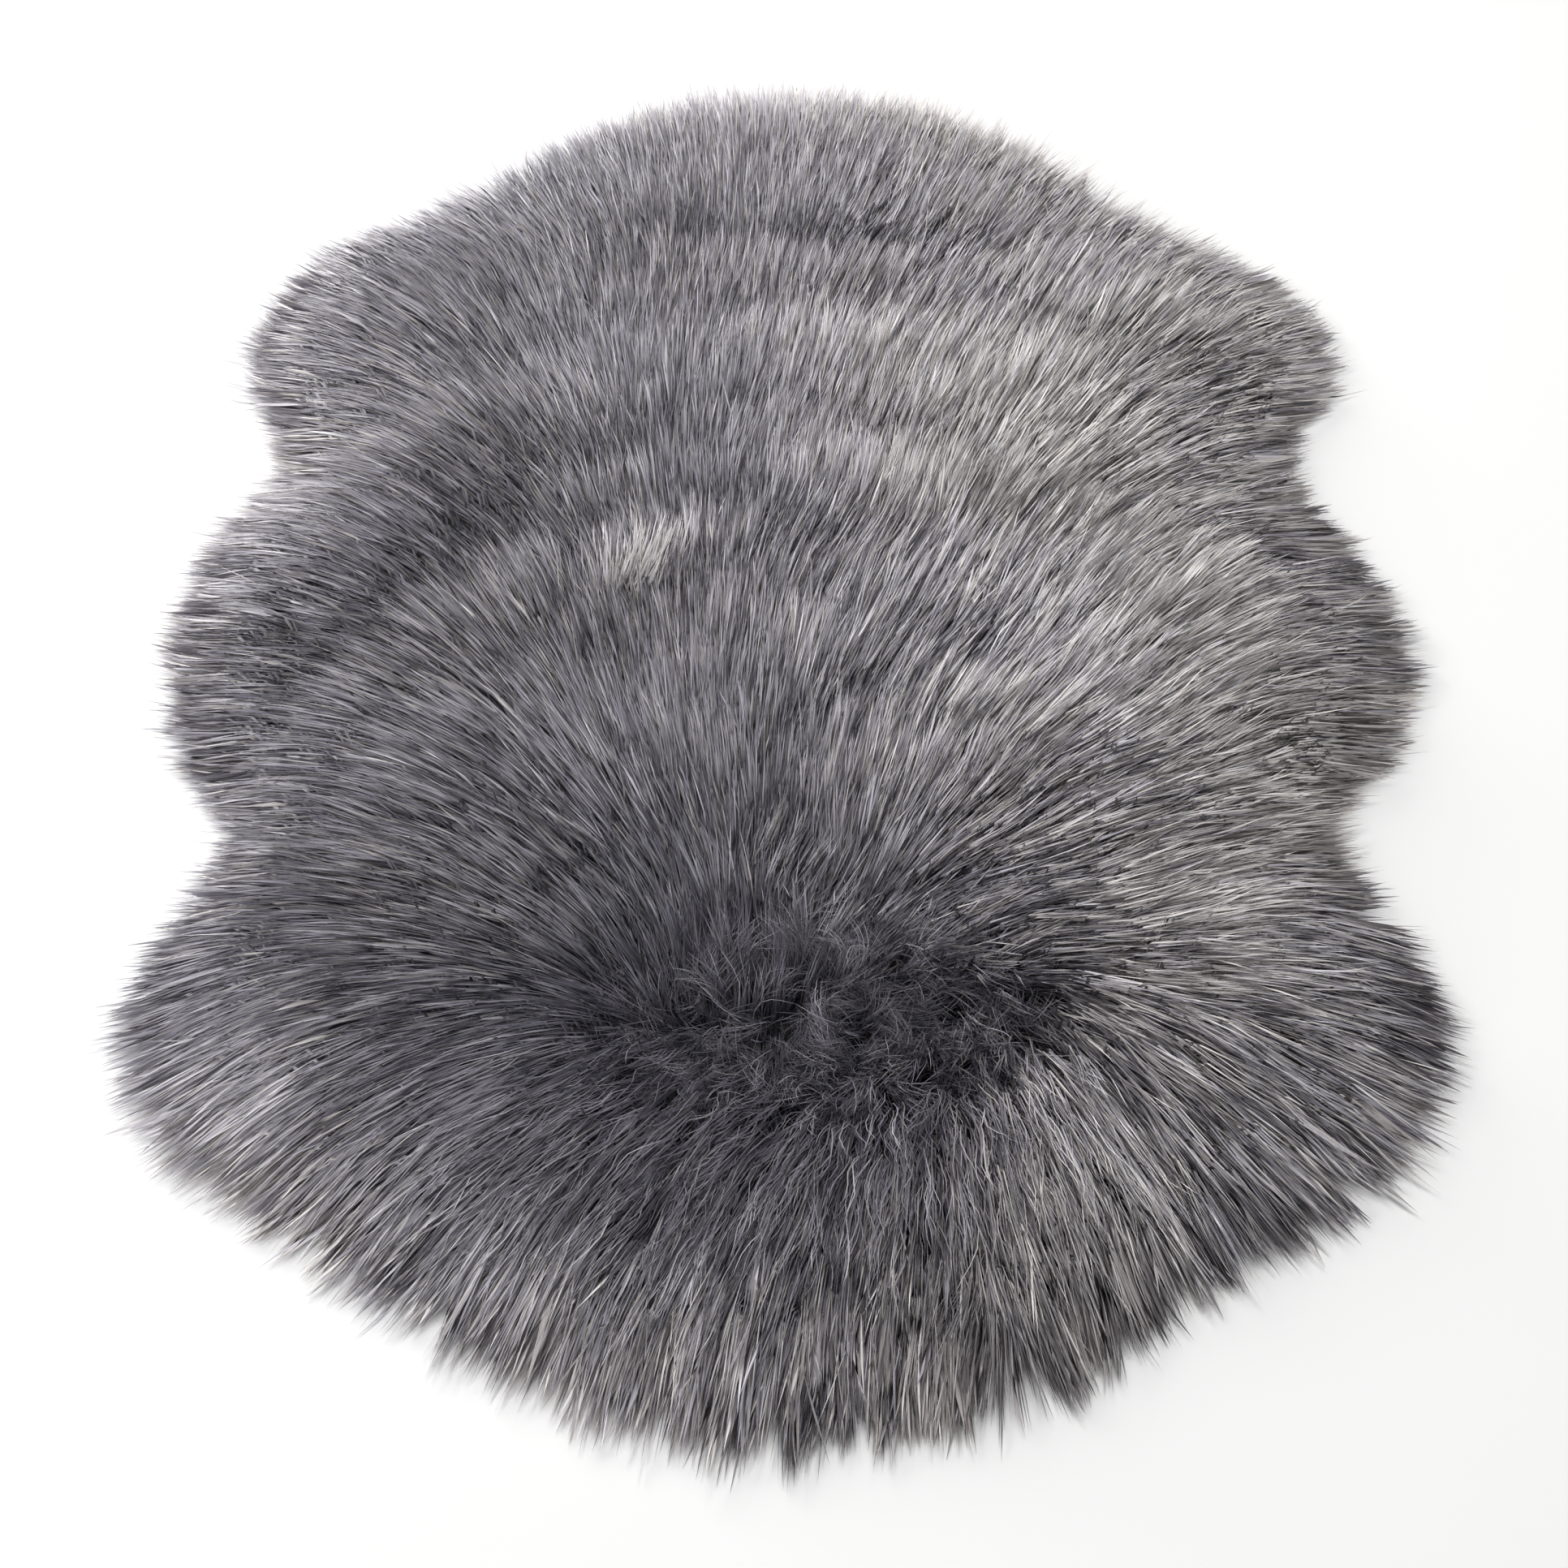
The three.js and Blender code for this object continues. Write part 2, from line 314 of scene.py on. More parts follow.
def lie(x, y):
    """The pile's state at points of the ground: a dict of fields."""
    phi = flow(x, y, edge_distance(outline, x, y))
    d = edge_distance(ground_edge, x, y)
    dx, dy = x - WHORL[0], y - WHORL[1]
    up = lie_up(x, y)
    rim = np.clip(1 - d / 75, 0, 1)  # 1 at the cut edge
    right = smooth((x + 60) / 220)
    # Bands that lie across the flow, where the pile stands up or lies over more.
    a, r = np.arctan2(dy, dx), np.hypot(dx, dy)
    band = noise(np.cos(a) * 1.9 + 7, np.sin(a) * 1.9, r / 62, 5)
    band2 = noise(np.cos(a) * 4 + 3, np.sin(a) * 4, r / 27, 6)
    wide = noise(x / 120, y / 120, 0.5, 7)
    mid = noise(x / 45, y / 45, 1.5, 8)
    fine = noise(x / 16, y / 16, 2.5, 9)
    near = smooth((-y - 250) / 120)
    rough = np.clip(0.28 + 0.27 * right + 0.28 * near + 0.4 * up - 0.2 * smooth((y - 120) / 150), 0.2, 1.2)
    # Tone varies at random with the wide and mid noise; with the bands it is painted lighter where the pile stands up
    # and darker where it lies over, as painted light and shade.
    tone = 0.08 * wide + (0.05 + 0.06 * right) * mid + (0.13 + 0.08 * right) * band + 0.04 * band2
    lift = (9 + 3 * rough + 2 * right) * band + (1 + 3.5 * rough) * band2
    rows = noise(x / 26, y / 10, 6.5, 15) * up  # short tufts stand in rows in the whorl
    # Painted light and shade: the rows are painted lighter where the tufts stand up and darker where they lie low.
    tone = tone + 0.18 * rows
    lift = lift + 12 * rows
    curly = up * (0.3 + 0.7 * smooth((x + 10) / 70))
    wavy = lie_waves(x, y)
    # How far single strands leave the direction of their wisp.
    loose = 0.9 + 1.4 * up
    # How much single strands differ: much on the right and at the near end, little on the left and at the far end.
    differ = np.clip(0.15 + 0.95 * right * smooth((330 - y) / 160) + 0.55 * near + 0.25 * smooth((200 - x - y) / 200), 0, 1.1)
    phi = phi + 0.13 * wide + (0.08 + 0.09 * rough) * mid + (0.03 + 0.08 * rough) * fine + 0.08 * band
    uneven = noise(x / 28, y / 28, 5.5, 14)
    for _, cx, cy, hx, hy, stand, turn, shade in RUFFLES:
        towards = math.atan2(cy - WHORL[1], cx - WHORL[0])
        c, s = math.cos(towards), math.sin(towards)
        # The strands are rooted behind where their tips lie.
        ex, ey = x - cx + TIP_AHEAD * c, y - cy + TIP_AHEAD * s
        across, along = ex * s - ey * c, ex * c + ey * s + 7 * uneven
        k = smooth(1.25 - np.hypot(across / hx, along / hy) / 1.2) * (0.85 + 0.4 * uneven)
        lift = lift + 0.7 * stand * k
        phi = phi + math.radians(turn) * k
        # the ruffle's painted light and shade
        tone = tone + shade * k
    for _, cx, cy, hx, hy, turn in PARTINGS:
        towards = math.atan2(cy - WHORL[1], cx - WHORL[0])
        c, s = math.cos(towards), math.sin(towards)
        ex, ey = x - cx + TIP_AHEAD * c, y - cy + TIP_AHEAD * s
        across, along = ex * s - ey * c, ex * c + ey * s
        phi = phi - math.radians(turn) * np.tanh(across / 4) * smooth(1.3 - np.hypot(across / hx, along / hy))
    # the patches: the fibre's own tone, and painted light and shade
    for _, cx, cy, hx, hy, shade in PATCHES:
        tone = tone + shade * smooth(1.1 - np.hypot((x - cx) / hx, (y - cy) / hy))
    # Painted light: the cut edge is painted lighter, a little everywhere and much more on the left and far edge,
    # standing in for light shining through the thin fringe.
    painted_rim_light = smooth((y - 1.3 * x + 210) / 170) * (1 - 0.7 * near)  # the left and the far edge
    tone = tone + (0.04 + 0.14 * painted_rim_light) * smooth(1 - d / 40) + 0.16 * painted_rim_light * smooth(1 - d / 15)
    far = smooth((y - 220) / 130)  # the far edge lies higher than the others
    e0 = 86 - 12 * rim - (10 - 8 * far) * rim**3 + 0.3 * lift * (1 - rim)
    e1 = 3 + 36 * up - (27 - 17 * far) * rim + (1 - rim) * lift
    even = 1 - 0.65 * rim * (1 - near)  # the edge is a fine fringe, but in tufts at the tail
    clump = (0.12 + 0.24 * rough + 0.14 * right + 0.12 * noise(x / 90, y / 90, 4.5, 12)) * even + (0.16 + 0.22 * rim) * near + 0.15 * up
    warm = np.clip(0.22 + 0.42 * right + 0.35 * noise(x / 100, y / 100, 7.5, 13) + 0.45 * near * rim, 0.06, 0.95)
    return dict(even=even, painted_rim_light=painted_rim_light, far=far, curly=curly, wavy=wavy, differ=differ, loose=loose, phi=phi, d=d, up=up, rim=rim, rough=rough, near=near, e0=e0, e1=e1, band=band, band2=band2,
                tone=tone, clump=clump, warm=warm)


def lie_up(x, y):
    """How far the pile stands and curls: 1 in the whorl, 0 away from it."""
    sx, sy, hx, hy = STANDING
    return smooth(1.45 - 1.3 * np.hypot((x - sx) / hx, (y - sy) / hy))


def lie_waves(x, y):
    """How wavy the strands are: 1 below the whorl, 0 away from there."""
    return smooth(1.3 - np.hypot((x + 10) / 170, (y + 300) / 62))


def scatter(spacing, jitter=0.5, only=None):
    """Jittered points over the ground cloth on a triangular grid."""
    w, h = 320.0, 470.0
    nx, ny = int(2 * w / spacing), int(2 * h / (spacing * 0.866))
    gx, gy = np.meshgrid(np.arange(nx), np.arange(ny))
    x = (gx + 0.5 * (gy % 2)) * spacing - w
    y = gy * spacing * 0.866 - h
    x = x.ravel() + rng.uniform(-jitter, jitter, x.size) * spacing
    y = y.ravel() + rng.uniform(-jitter, jitter, y.size) * spacing
    if only is not None:
        k = only(x, y)
        x, y = x[k], y[k]
    k = inside(ground_edge, x, y)
    return x[k], y[k]


def nearest(px, py, cx, cy, cell):
    """For each point, the nearest of the centres, looked up in a grid of cells."""
    n = int(1100 / cell) + 3
    ix = ((cx + 550) / cell).astype(int)
    iy = ((cy + 550) / cell).astype(int)
    order = np.argsort(iy * n + ix, kind="stable")
    key = (iy * n + ix)[order]
    start = np.searchsorted(key, np.arange(n * n + 1))
    jx = ((px + 550) / cell).astype(int)
    jy = ((py + 550) / cell).astype(int)
    best = np.full(len(px), np.inf)
    who = np.zeros(len(px), int)
    for ox in (-1, 0, 1):
        for oy in (-1, 0, 1):
            k = (jy + oy) * n + jx + ox
            lo, hi = start[k], start[k + 1]
            for step in range(int((hi - lo).max())):
                has = lo + step < hi
                c = order[np.minimum(lo + step, len(order) - 1)]
                dist = np.where(has, (px - cx[c]) ** 2 + (py - cy[c]) ** 2, np.inf)
                nearer = dist < best
                best = np.where(nearer, dist, best)
                who = np.where(nearer, c, who)
    return who


# ---- strands --------------------------------------------------------------
SEGMENTS = 14
BEND_SPAN = 0.40  # the share of a strand's length over which it bends


def guide(e0, e1, knee, phi, length, bend, curl):
    """Paths of (n, SEGMENTS + 1, 3) from the origin: they rise at elevation e0, lie over about the knee, and end at e1."""
    t = (np.arange(SEGMENTS) + 0.5) / SEGMENTS
    e = np.radians(e0)[:, None] + (np.radians(e1) - np.radians(e0))[:, None] * smooth(0.5 + (t - knee[:, None]) / BEND_SPAN)
    a = phi[:, None] + bend[:, None] * (t - 0.3) + curl[0][:, None] * np.sin(t * curl[2][:, None] + curl[1][:, None])
    step = length[:, None] / SEGMENTS
    d = np.stack([np.cos(e) * np.cos(a) * step, np.cos(e) * np.sin(a) * step, np.sin(e) * step], -1)
    path = np.zeros((len(e0), SEGMENTS + 1, 3))
    path[:, 1:] = np.cumsum(d, 1)
    return path


# Strands gather in wisps about as wide as a match, and the wisps in locks about as wide as a finger.
LOCK_SPACING = 10.0
WISP_SPACING = 2.4
LENGTH = 63.0
lock_x, lock_y = scatter(LOCK_SPACING, 0.45)
K = len(lock_x)
lock = dict(
    turn=rng.normal(0, 0.07, K), rise=rng.normal(0, 3, K), length=rng.uniform(0.92, 1.06, K),
    bend=rng.normal(0, 0.16, K), knee=rng.normal(0, 0.025, K), own=rng.normal(0, 1, K), allow=rng.normal(8.0, 3.5, K),
    grip=rng.normal(0, 0.08, K), phase=rng.uniform(0, 6.28, K),
)
wisp_x, wisp_y = scatter(WISP_SPACING, 0.5)
W = len(wisp_x)
of_lock = nearest(wisp_x, wisp_y, lock_x, lock_y, 13.0)
wisp = lie(wisp_x, wisp_y)
over_lying = rng.random(W) < (0.15 + 0.12 * smooth((wisp_x + 60) / 220)) * (1 - 0.95 * smooth(1.5 * wisp["rim"]))  # wisps that ride over the others and show along their whole length
up = wisp["up"]
rough = wisp["rough"]
own = {f: v[of_lock] for f, v in lock.items()}
wisp["phi"] = wisp["phi"] + own["turn"] * (rough + 7 * wisp["curly"]) + rng.normal(0, 0.05, W) * (0.5 + 0.6 * rough) + wisp["curly"] * rng.normal(0, 0.3, W)
wisp["e0"] = wisp["e0"] + rng.normal(0, 2.5, W) + 3 * over_lying
wisp["e1"] = wisp["e1"] + own["rise"] * rough * (1 + 2 * up) + rng.normal(0, 2.4, W) * (0.5 + 0.6 * rough) + up * rng.normal(0, 5, W) + 1.5 * over_lying
wisp["knee"] = 0.44 + 0.035 * over_lying + own["knee"] * rough + rng.normal(0, 0.013, W) * (0.5 + rough + 0.8 * wisp["differ"]) + 0.1 * up - (0.10 * wisp["rim"] + 0.13 * wisp["rim"] ** 3) * (1 - 0.6 * wisp["far"])
wisp["length"] = (
    LENGTH
    * (1 - 0.26 * up - 0.03 * wisp["rim"])
    * (1 + 0.05 * wisp["band2"])
    * (1 + (own["length"] - 1) * (0.5 + 0.6 * rough + 2 * up))
    * rng.uniform(0.9, 1.05, W)
    * np.where(over_lying, 1.08, 1)
)
wisp["bend"] = own["bend"] * (0.4 + 0.7 * rough) + rng.normal(0, 0.06, W) + 0.6 * up * rng.normal(0, 1, W)
wisp["curl_a"] = np.abs(rng.normal(0, 0.05, W)) * (1 + 1.2 * wisp["near"]) + 0.35 * wisp["curly"] 
wisp["wave_a"] = 0.42 * wisp["wavy"] * rng.uniform(0.5, 1, W)
wisp["curl_p"] = own["phase"] + rng.normal(0, 0.5, W)
wisp["clump"] = np.clip(wisp["clump"] + own["grip"], 0.02, 0.8)
wisp["grip"] = np.clip(rng.normal(0, 0.13, W) + (0.34 + 0.2 * rough + 0.14 * smooth((wisp_x + 60) / 220) + 0.1 * wisp["near"]) * wisp["even"] - 0.3 * up, 0.05, 0.92)
wisp["tone"] = wisp["tone"] + (0.03 + 0.05 * wisp["differ"] + 0.09 * up) * own["own"] + rng.normal(0, 0.10, W) * (0.25 + wisp["differ"])
# Wisps at the rim are as long as it takes to reach the outline.
waist = smooth(1.2 - np.abs(np.abs(wisp_y) - 126) / 50) * smooth((np.abs(wisp_x) - 120) / 80)
ragged = 0.35 + 0.65 * smooth((-wisp_y - 200) / 150)
allow = (9 + (own["allow"] - 8) * ragged + rng.normal(0, 2.2, W) * ragged + 5 * smooth(-wisp_x / 150) + 5 * smooth(-wisp_x / 150) * smooth((wisp_y + 20) / 120) - 3 * smooth(wisp_x / 150)
         - 5 * waist - 6 * smooth((-wisp_y - 290) / 50) * smooth((-wisp_x - 60) / 80)
         - 9 * smooth((-wisp_y - 290) / 50) * smooth((wisp_x - 80) / 80)
         + 4 * smooth((wisp_y - 270) / 60) + 4 * smooth((wisp_y - 290) / 60)
         + 9 * smooth(1.1 - np.hypot(wisp_x + 135, wisp_y + 385) / 75)
         - 5 * smooth(1.1 - np.hypot(wisp_x - 95, wisp_y + 410) / 50))
for _ in range(3):
    k = np.flatnonzero(wisp["d"] < 75)
    path = guide(*(wisp[f][k] for f in ("e0", "e1", "knee", "phi", "length", "bend")),
                 (wisp["curl_a"][k], wisp["curl_p"][k], np.full(len(k), 7.0)))
    past = -edge_distance(outline, wisp_x[k] + path[:, -1, 0], wisp_y[k] + path[:, -1, 1])  # out of the outline
    reach = np.hypot(path[:, -1, 0], path[:, -1, 1])
    over = np.where(past > allow[k], past - allow[k], 0)
    wisp["length"][k] *= np.clip(1 - over / np.maximum(reach, 20), 0.6, 1)


def settle(path):
    """Bends over, softly, whatever would stand above the ceiling."""
    z = path[..., 2]
    path[..., 2] = np.where(z > CEILING, CEILING + 8 * (1 - np.exp(-np.maximum(z - CEILING, 0) / 8)), z)
    return path


def place(path, who, x, y, grip=1.0):
    """Moves paths to their roots and gathers them in their wisp and lock."""
    n = len(x)
    t = np.linspace(0, 1, SEGMENTS + 1)
    g = smooth(t * 1.05) ** 0.8
    k = of_lock[who]
    for axis, own, w_at, l_at in ((0, x, wisp_x, lock_x), (1, y, wisp_y, lock_y)):
        path[..., axis] += (own - w_at[who])[:, None] * (1 - (wisp["grip"][who] * grip)[:, None] * g)
        path[..., axis] += (w_at[who] - l_at[k])[:, None] * (1 - wisp["clump"][who][:, None] * g)
        path[..., axis] += l_at[k][:, None]
    path[..., 2] += GROUND_THICKNESS - 0.8
    return settle(path)


def strands(x, y, width, length=1.0, grip=1.0, stray=0.025, spread=0.035, rise=0.0, sway=1.0, wave=0.0, low=0.0):
    """Centre lines and widths of the strands of one layer of pile, rooted at x, y; sway 0 keeps them straight,
    wave 1 lets them wave below the whorl, and low is how much earlier they bend."""
    n = len(x)
    who = nearest(x, y, wisp_x, wisp_y, 5.0)
    wild = rng.random(n) < stray
    up = wisp["up"][who]
    path = guide(
        wisp["e0"][who] + rng.normal(0, 3, n) + wild * rng.normal(0, 6, n),
        wisp["e1"][who] + rise + rng.normal(0, 1.6, n) * wisp["loose"][who] + wild * rng.normal(3, 6, n),
        wisp["knee"][who] - low + rng.normal(0, 0.02, n) * (0.5 + 0.5 * wisp["loose"][who]) * (1 - 0.5 * wisp["rim"][who]),
        wisp["phi"][who] + rng.normal(0, 1, n) * (np.where(wild, 0.2, spread) * wisp["loose"][who]),
        wisp["length"][who] * length * (1.05 - rng.random(n) ** 1.3 * (0.25 + 0.2 * wisp["rim"][who])),
        (wisp["bend"][who] + rng.normal(0, 0.06, n)) * (1 - (1 - sway) * np.maximum(wisp["up"], wisp["wavy"])[who]),
        ((sway * wisp["curl_a"][who] + wave * wisp["wave_a"][who]) * rng.uniform(0.5, 1.3, n),
         wisp["curl_p"][who] + rng.normal(0, 0.3, n), 7 + 6 * wave * wisp["wavy"][who]),
    )
    path = place(path, who, x, y, grip * np.where(wild, 0.3, 1))
    return dict(path=path, who=who, n=n, width=width * (1 - 0.4 * up) * (1 - 0.18 * wisp["near"][who]) * rng.uniform(0.75, 1.3, n), x=x, y=y,
                shift=np.clip(wisp["knee"][who] - 0.44, -0.2, 0.12))


def curled(x, y, width):
    """Strands that stand up and end in a hook or a curl, each tuft its own way."""
    n = len(x)
    who = nearest(x, y, wisp_x, wisp_y, 5.0)
    hook = rng.normal(88, 18, K)[of_lock] + rng.normal(0, 9, W)
    swirl = rng.normal(0, 1.5, K)[of_lock] + rng.normal(0, 0.35, W)
    lean = wisp["phi"] + rng.normal(0, 0.6, K)[of_lock] + rng.normal(0, 0.15, W)
    tall = rng.uniform(0.85, 1.15, K)[of_lock] * rng.uniform(0.94, 1.06, W)
    t = (np.arange(SEGMENTS) + 0.5) / SEGMENTS
    late = smooth((t - 0.3) / 0.6)[None]
    up = wisp["up"][who][:, None]
    e = np.radians(82 - (1 - up) * 30 * smooth(t * 1.6)[None] - late * (hook[who] + rng.normal(0, 8, n))[:, None])
    a = lean[who][:, None] + rng.normal(0, 0.10, n)[:, None] + late * (swirl[who] + rng.normal(0, 0.2, n))[:, None]
    a = a + 0.15 * np.sin(t[None] * 9 + rng.uniform(0, 6.28, n)[:, None])
    step = (49 * tall[who] * rng.uniform(0.8, 1.05, n))[:, None] / SEGMENTS
    d = np.stack([np.cos(e) * np.cos(a) * step, np.cos(e) * np.sin(a) * step, np.sin(e) * step], -1)
    path = np.zeros((n, SEGMENTS + 1, 3))
    path[:, 1:] = np.cumsum(d, 1)
    path = place(path, who, x, y, 0.8)
    return dict(path=path, who=who, n=n, width=width * rng.uniform(0.75, 1.3, n), x=x, y=y, shift=np.zeros(n))


def ribbons(s, at, width_at, twist, pairs=False):
    """Strips along the strands: a root point, points left and right in turn (or in pairs), and a tip."""
    path = s["path"]
    at = np.asarray(at)[None]
    # All points but the root move with the strand's bend, so that the second and third lie just after it.
    moved = 1 - (1 - at) * (1 - at[:, 1:2] - s["shift"][:, None]) / (1 - at[:, 1:2])
    at = np.concatenate([np.broadcast_to(at[:, :1], (s["n"], 1)), moved[:, 1:]], 1)
    k = at * SEGMENTS
    lo = np.minimum(k.astype(int), SEGMENTS - 1)
    f = (k - lo)[..., None]
    row = np.arange(s["n"])[:, None]
    mid = path[row, lo] * (1 - f) + path[row, lo + 1] * f
    along = path[row, lo + 1] - path[row, lo]
    along /= np.linalg.norm(along, axis=-1, keepdims=True)
    up = np.array((0.0, 0.0, 1.0))
    side = np.cross(along, up)
    side /= np.linalg.norm(side, axis=-1, keepdims=True) + 1e-9
    face = np.cross(side, along)
    angle = twist[:, None, None]
    across = side * np.cos(angle) + face * np.sin(angle)
    w = 0.5 * s["width"][:, None] * np.asarray(width_at)[None]
    if pairs:
        left, right = mid + across * w[..., None], mid - across * w[..., None]
        both = np.stack([left, right], 2).reshape(s["n"], -1, 3)
        return both[:, 1:-1]
    sign = np.array([0] + [1 if i % 2 else -1 for i in range(1, at.shape[1] - 1)] + [0])
    return mid + across * (w * sign)[..., None]


def floor_limit(v, lowest):
    """Lays what would sink into the floor down on it, softly."""
    z = v[..., 2]
    low = lowest[:, None]
    v[..., 2] = np.where(z < low + 4, low + 4 * np.exp(np.minimum(z - low - 4, 0) / 4), z)
    return v


def tone_of(s, base=0.425, spread=0.05, differ=0.13):
    """Each strand's place on the scale of tones, and which of the two dyes it took."""
    who = s["who"]
    much = wisp["differ"][who]
    t = np.clip(base + 0.03 * much + (spread + differ * much) * rng.normal(0, 1, s["n"]) + wisp["tone"][who], 0.02, 0.98)
    return t * 0.46 + np.where(rng.random(s["n"]) < wisp["warm"][who], 0.52, 0.02)


def root_of(s):
    """How much of the painted root shade, the dark end of its scale, each strand leaves out."""
    return 0.65 * (wisp["rim"] * (0.25 + 0.75 * wisp["painted_rim_light"]))[s["who"]]


def strip_mesh(name, verts, tone, at, material, root=0.0):
    """One mesh of many strips, with the map that carries each strand's tone and the way along it."""
    n, k = verts.shape[:2]
    at = np.asarray(at)
    if len(at) < k:  # in pairs
        at = np.repeat(at, 2)[1:-1]
    tri = []
    for i in range(k - 2):
        tri.append((i, i + 1, i + 2) if i % 2 == 0 else (i, i + 2, i + 1))
    tri = np.array(tri)
    index = (np.arange(n)[:, None, None] * k + tri[None]).reshape(-1)
    me = bpy.data.meshes.new(name)
    me.vertices.add(n * k)
    me.vertices.foreach_set("co", (verts.reshape(-1, 3) * MM).astype(np.float32).ravel())
    faces = n * (k - 2)
    me.loops.add(faces * 3)
    me.loops.foreach_set("vertex_index", index.astype(np.int32))
    me.polygons.add(faces)
    me.polygons.foreach_set("loop_start", (np.arange(faces) * 3).astype(np.int32))
    me.polygons.foreach_set("use_smooth", np.ones(faces, bool))
    me.update(calc_edges=True)
    uv = me.uv_layers.new(name="OFBake")
    sign = np.array([0] + [1 if i % 2 else -1 for i in range(1, k - 1)] + [0]) * 0.0018
    u = tone[:, None] + sign[None]
    # At the rim part of the painted root shade is left out, so the roots there are light like the tips.
    root = np.broadcast_to(root, (n,))[:, None]  # at the rim the roots are as pale as the tips
    v = 0.01 + 0.98 * (root + (1 - root) * at[None])
    both = np.stack([u, v], -1).reshape(-1, 2)
    uv.data.foreach_set("uv", both[index].astype(np.float32).ravel())
    me.materials.append(material)
    ob = bpy.data.objects.new(name, me)
    bpy.context.scene.collection.objects.link(ob)
    return ob


# ---- materials ------------------------------------------------------------
def nodes_of(name):
    m = bpy.data.materials.new(name)
    m.use_nodes = True
    t = m.node_tree
    t.nodes.clear()
    return m, t


def ramp(tree, stops):
    r = tree.nodes.new("ShaderNodeValToRGB")
    e = r.color_ramp.elements
    while len(e) > 1:
        e.remove(e[-1])
    for i, (pos, col) in enumerate(stops):
        el = e[0] if i == 0 else e.new(pos)
        el.position = pos
        el.color = (*col, 1)
    return r


def pile_material(name, tones, painted_shade, rough):
    m, t = nodes_of(name)
    uv = t.nodes.new("ShaderNodeUVMap")
    uv.uv_map = "OFBake"
    split = t.nodes.new("ShaderNodeSeparateXYZ")
    t.links.new(uv.outputs["UV"], split.inputs[0])
    colour = ramp(t, tones)
    # the painted root shade along each strand, multiplied into its tone
    shade = ramp(t, painted_shade)
    t.links.new(split.outputs["X"], colour.inputs["Fac"])
    t.links.new(split.outputs["Y"], shade.inputs["Fac"])
    mix = t.nodes.new("ShaderNodeMix")
    mix.data_type = "RGBA"
    mix.blend_type = "MULTIPLY"
    mix.inputs["Factor"].default_value = 1
    t.links.new(colour.outputs["Color"], mix.inputs["A"])
    t.links.new(shade.outputs["Color"], mix.inputs["B"])
    b = t.nodes.new("ShaderNodeBsdfPrincipled")
    b.inputs["Roughness"].default_value = rough
    b.inputs["Specular IOR Level"].default_value = 0.5
    t.links.new(mix.outputs["Result"], b.inputs["Base Color"])
    out = t.nodes.new("ShaderNodeOutputMaterial")
    t.links.new(b.outputs[0], out.inputs[0])
    return m


# The scale of tones twice over: the left half of the map is the cooler dye, the right half the warmer.
COOL = [
    (0.0, (0.070, 0.066, 0.086)),
    (0.3, (0.240, 0.227, 0.272)),
    (0.6, (0.440, 0.422, 0.476)),
    (0.85, (0.675, 0.655, 0.700)),
    (1.0, (0.860, 0.840, 0.865)),
]
WARM = [
    (0.0, (0.077, 0.069, 0.075)),
    (0.3, (0.265, 0.246, 0.253)),
    (0.6, (0.480, 0.450, 0.448)),
    (0.85, (0.725, 0.690, 0.672)),
    (1.0, (0.900, 0.865, 0.835)),
]
TONES = [(0.02 + 0.46 * p, c) for p, c in COOL] + [(0.52 + 0.46 * p, c) for p, c in WARM]
# Painted shade: each strand is darkened towards its root, standing in for the shade deep among the strands.
PAINTED_ROOT_SHADE = [
    (0.0, (0.29, 0.285, 0.30)),
    (0.3, (0.55, 0.545, 0.56)),
    (0.65, (0.87, 0.87, 0.875)),
    (0.92, (1.0, 1.0, 1.0)),
]
pile = pile_material("pile_fibre", TONES, PAINTED_ROOT_SHADE, 0.4)
soft = pile_material("curl_fibre", TONES, PAINTED_ROOT_SHADE, 0.6)
# Painted shade: the underfur is coloured near black, standing in for the shade deep among the standing strands of the
# whorl.
underfur_shade = pile_material("underfur_painted_shade", [(0, (0.09, 0.086, 0.10)), (1, (0.20, 0.19, 0.21))], PAINTED_ROOT_SHADE, 0.7)


def ground_material():
    m, t = nodes_of("ground_cloth")
    co = t.nodes.new("ShaderNodeTexCoord")
    wave = t.nodes.new("ShaderNodeTexWave")
    wave.inputs["Scale"].default_value = 180
    wave.inputs["Distortion"].default_value = 0.6
    rows = t.nodes.new("ShaderNodeTexWave")
    rows.bands_direction = "Y"
    rows.inputs["Scale"].default_value = 220
    rows.inputs["Distortion"].default_value = 0.6
    t.links.new(co.outputs["Object"], wave.inputs["Vector"])
    t.links.new(co.outputs["Object"], rows.inputs["Vector"])
    mix = t.nodes.new("ShaderNodeMix")
    mix.data_type = "RGBA"
    mix.blend_type = "MULTIPLY"
    mix.inputs["Factor"].default_value = 0.8
    t.links.new(wave.outputs["Color"], mix.inputs["A"])
    t.links.new(rows.outputs["Color"], mix.inputs["B"])
    col = ramp(t, [(0, (0.10, 0.098, 0.105)), (1, (0.22, 0.215, 0.225))])
    t.links.new(mix.outputs["Result"], col.inputs["Fac"])
    b = t.nodes.new("ShaderNodeBsdfPrincipled")
    b.inputs["Roughness"].default_value = 0.9
    t.links.new(col.outputs["Color"], b.inputs["Base Color"])
    bump = t.nodes.new("ShaderNodeBump")
    bump.inputs["Strength"].default_value = 0.5
    bump.inputs["Distance"].default_value = 0.0006
    t.links.new(mix.outputs["Result"], bump.inputs["Height"])
    t.links.new(bump.outputs["Normal"], b.inputs["Normal"])
    out = t.nodes.new("ShaderNodeOutputMaterial")
    t.links.new(b.outputs[0], out.inputs[0])
    return m


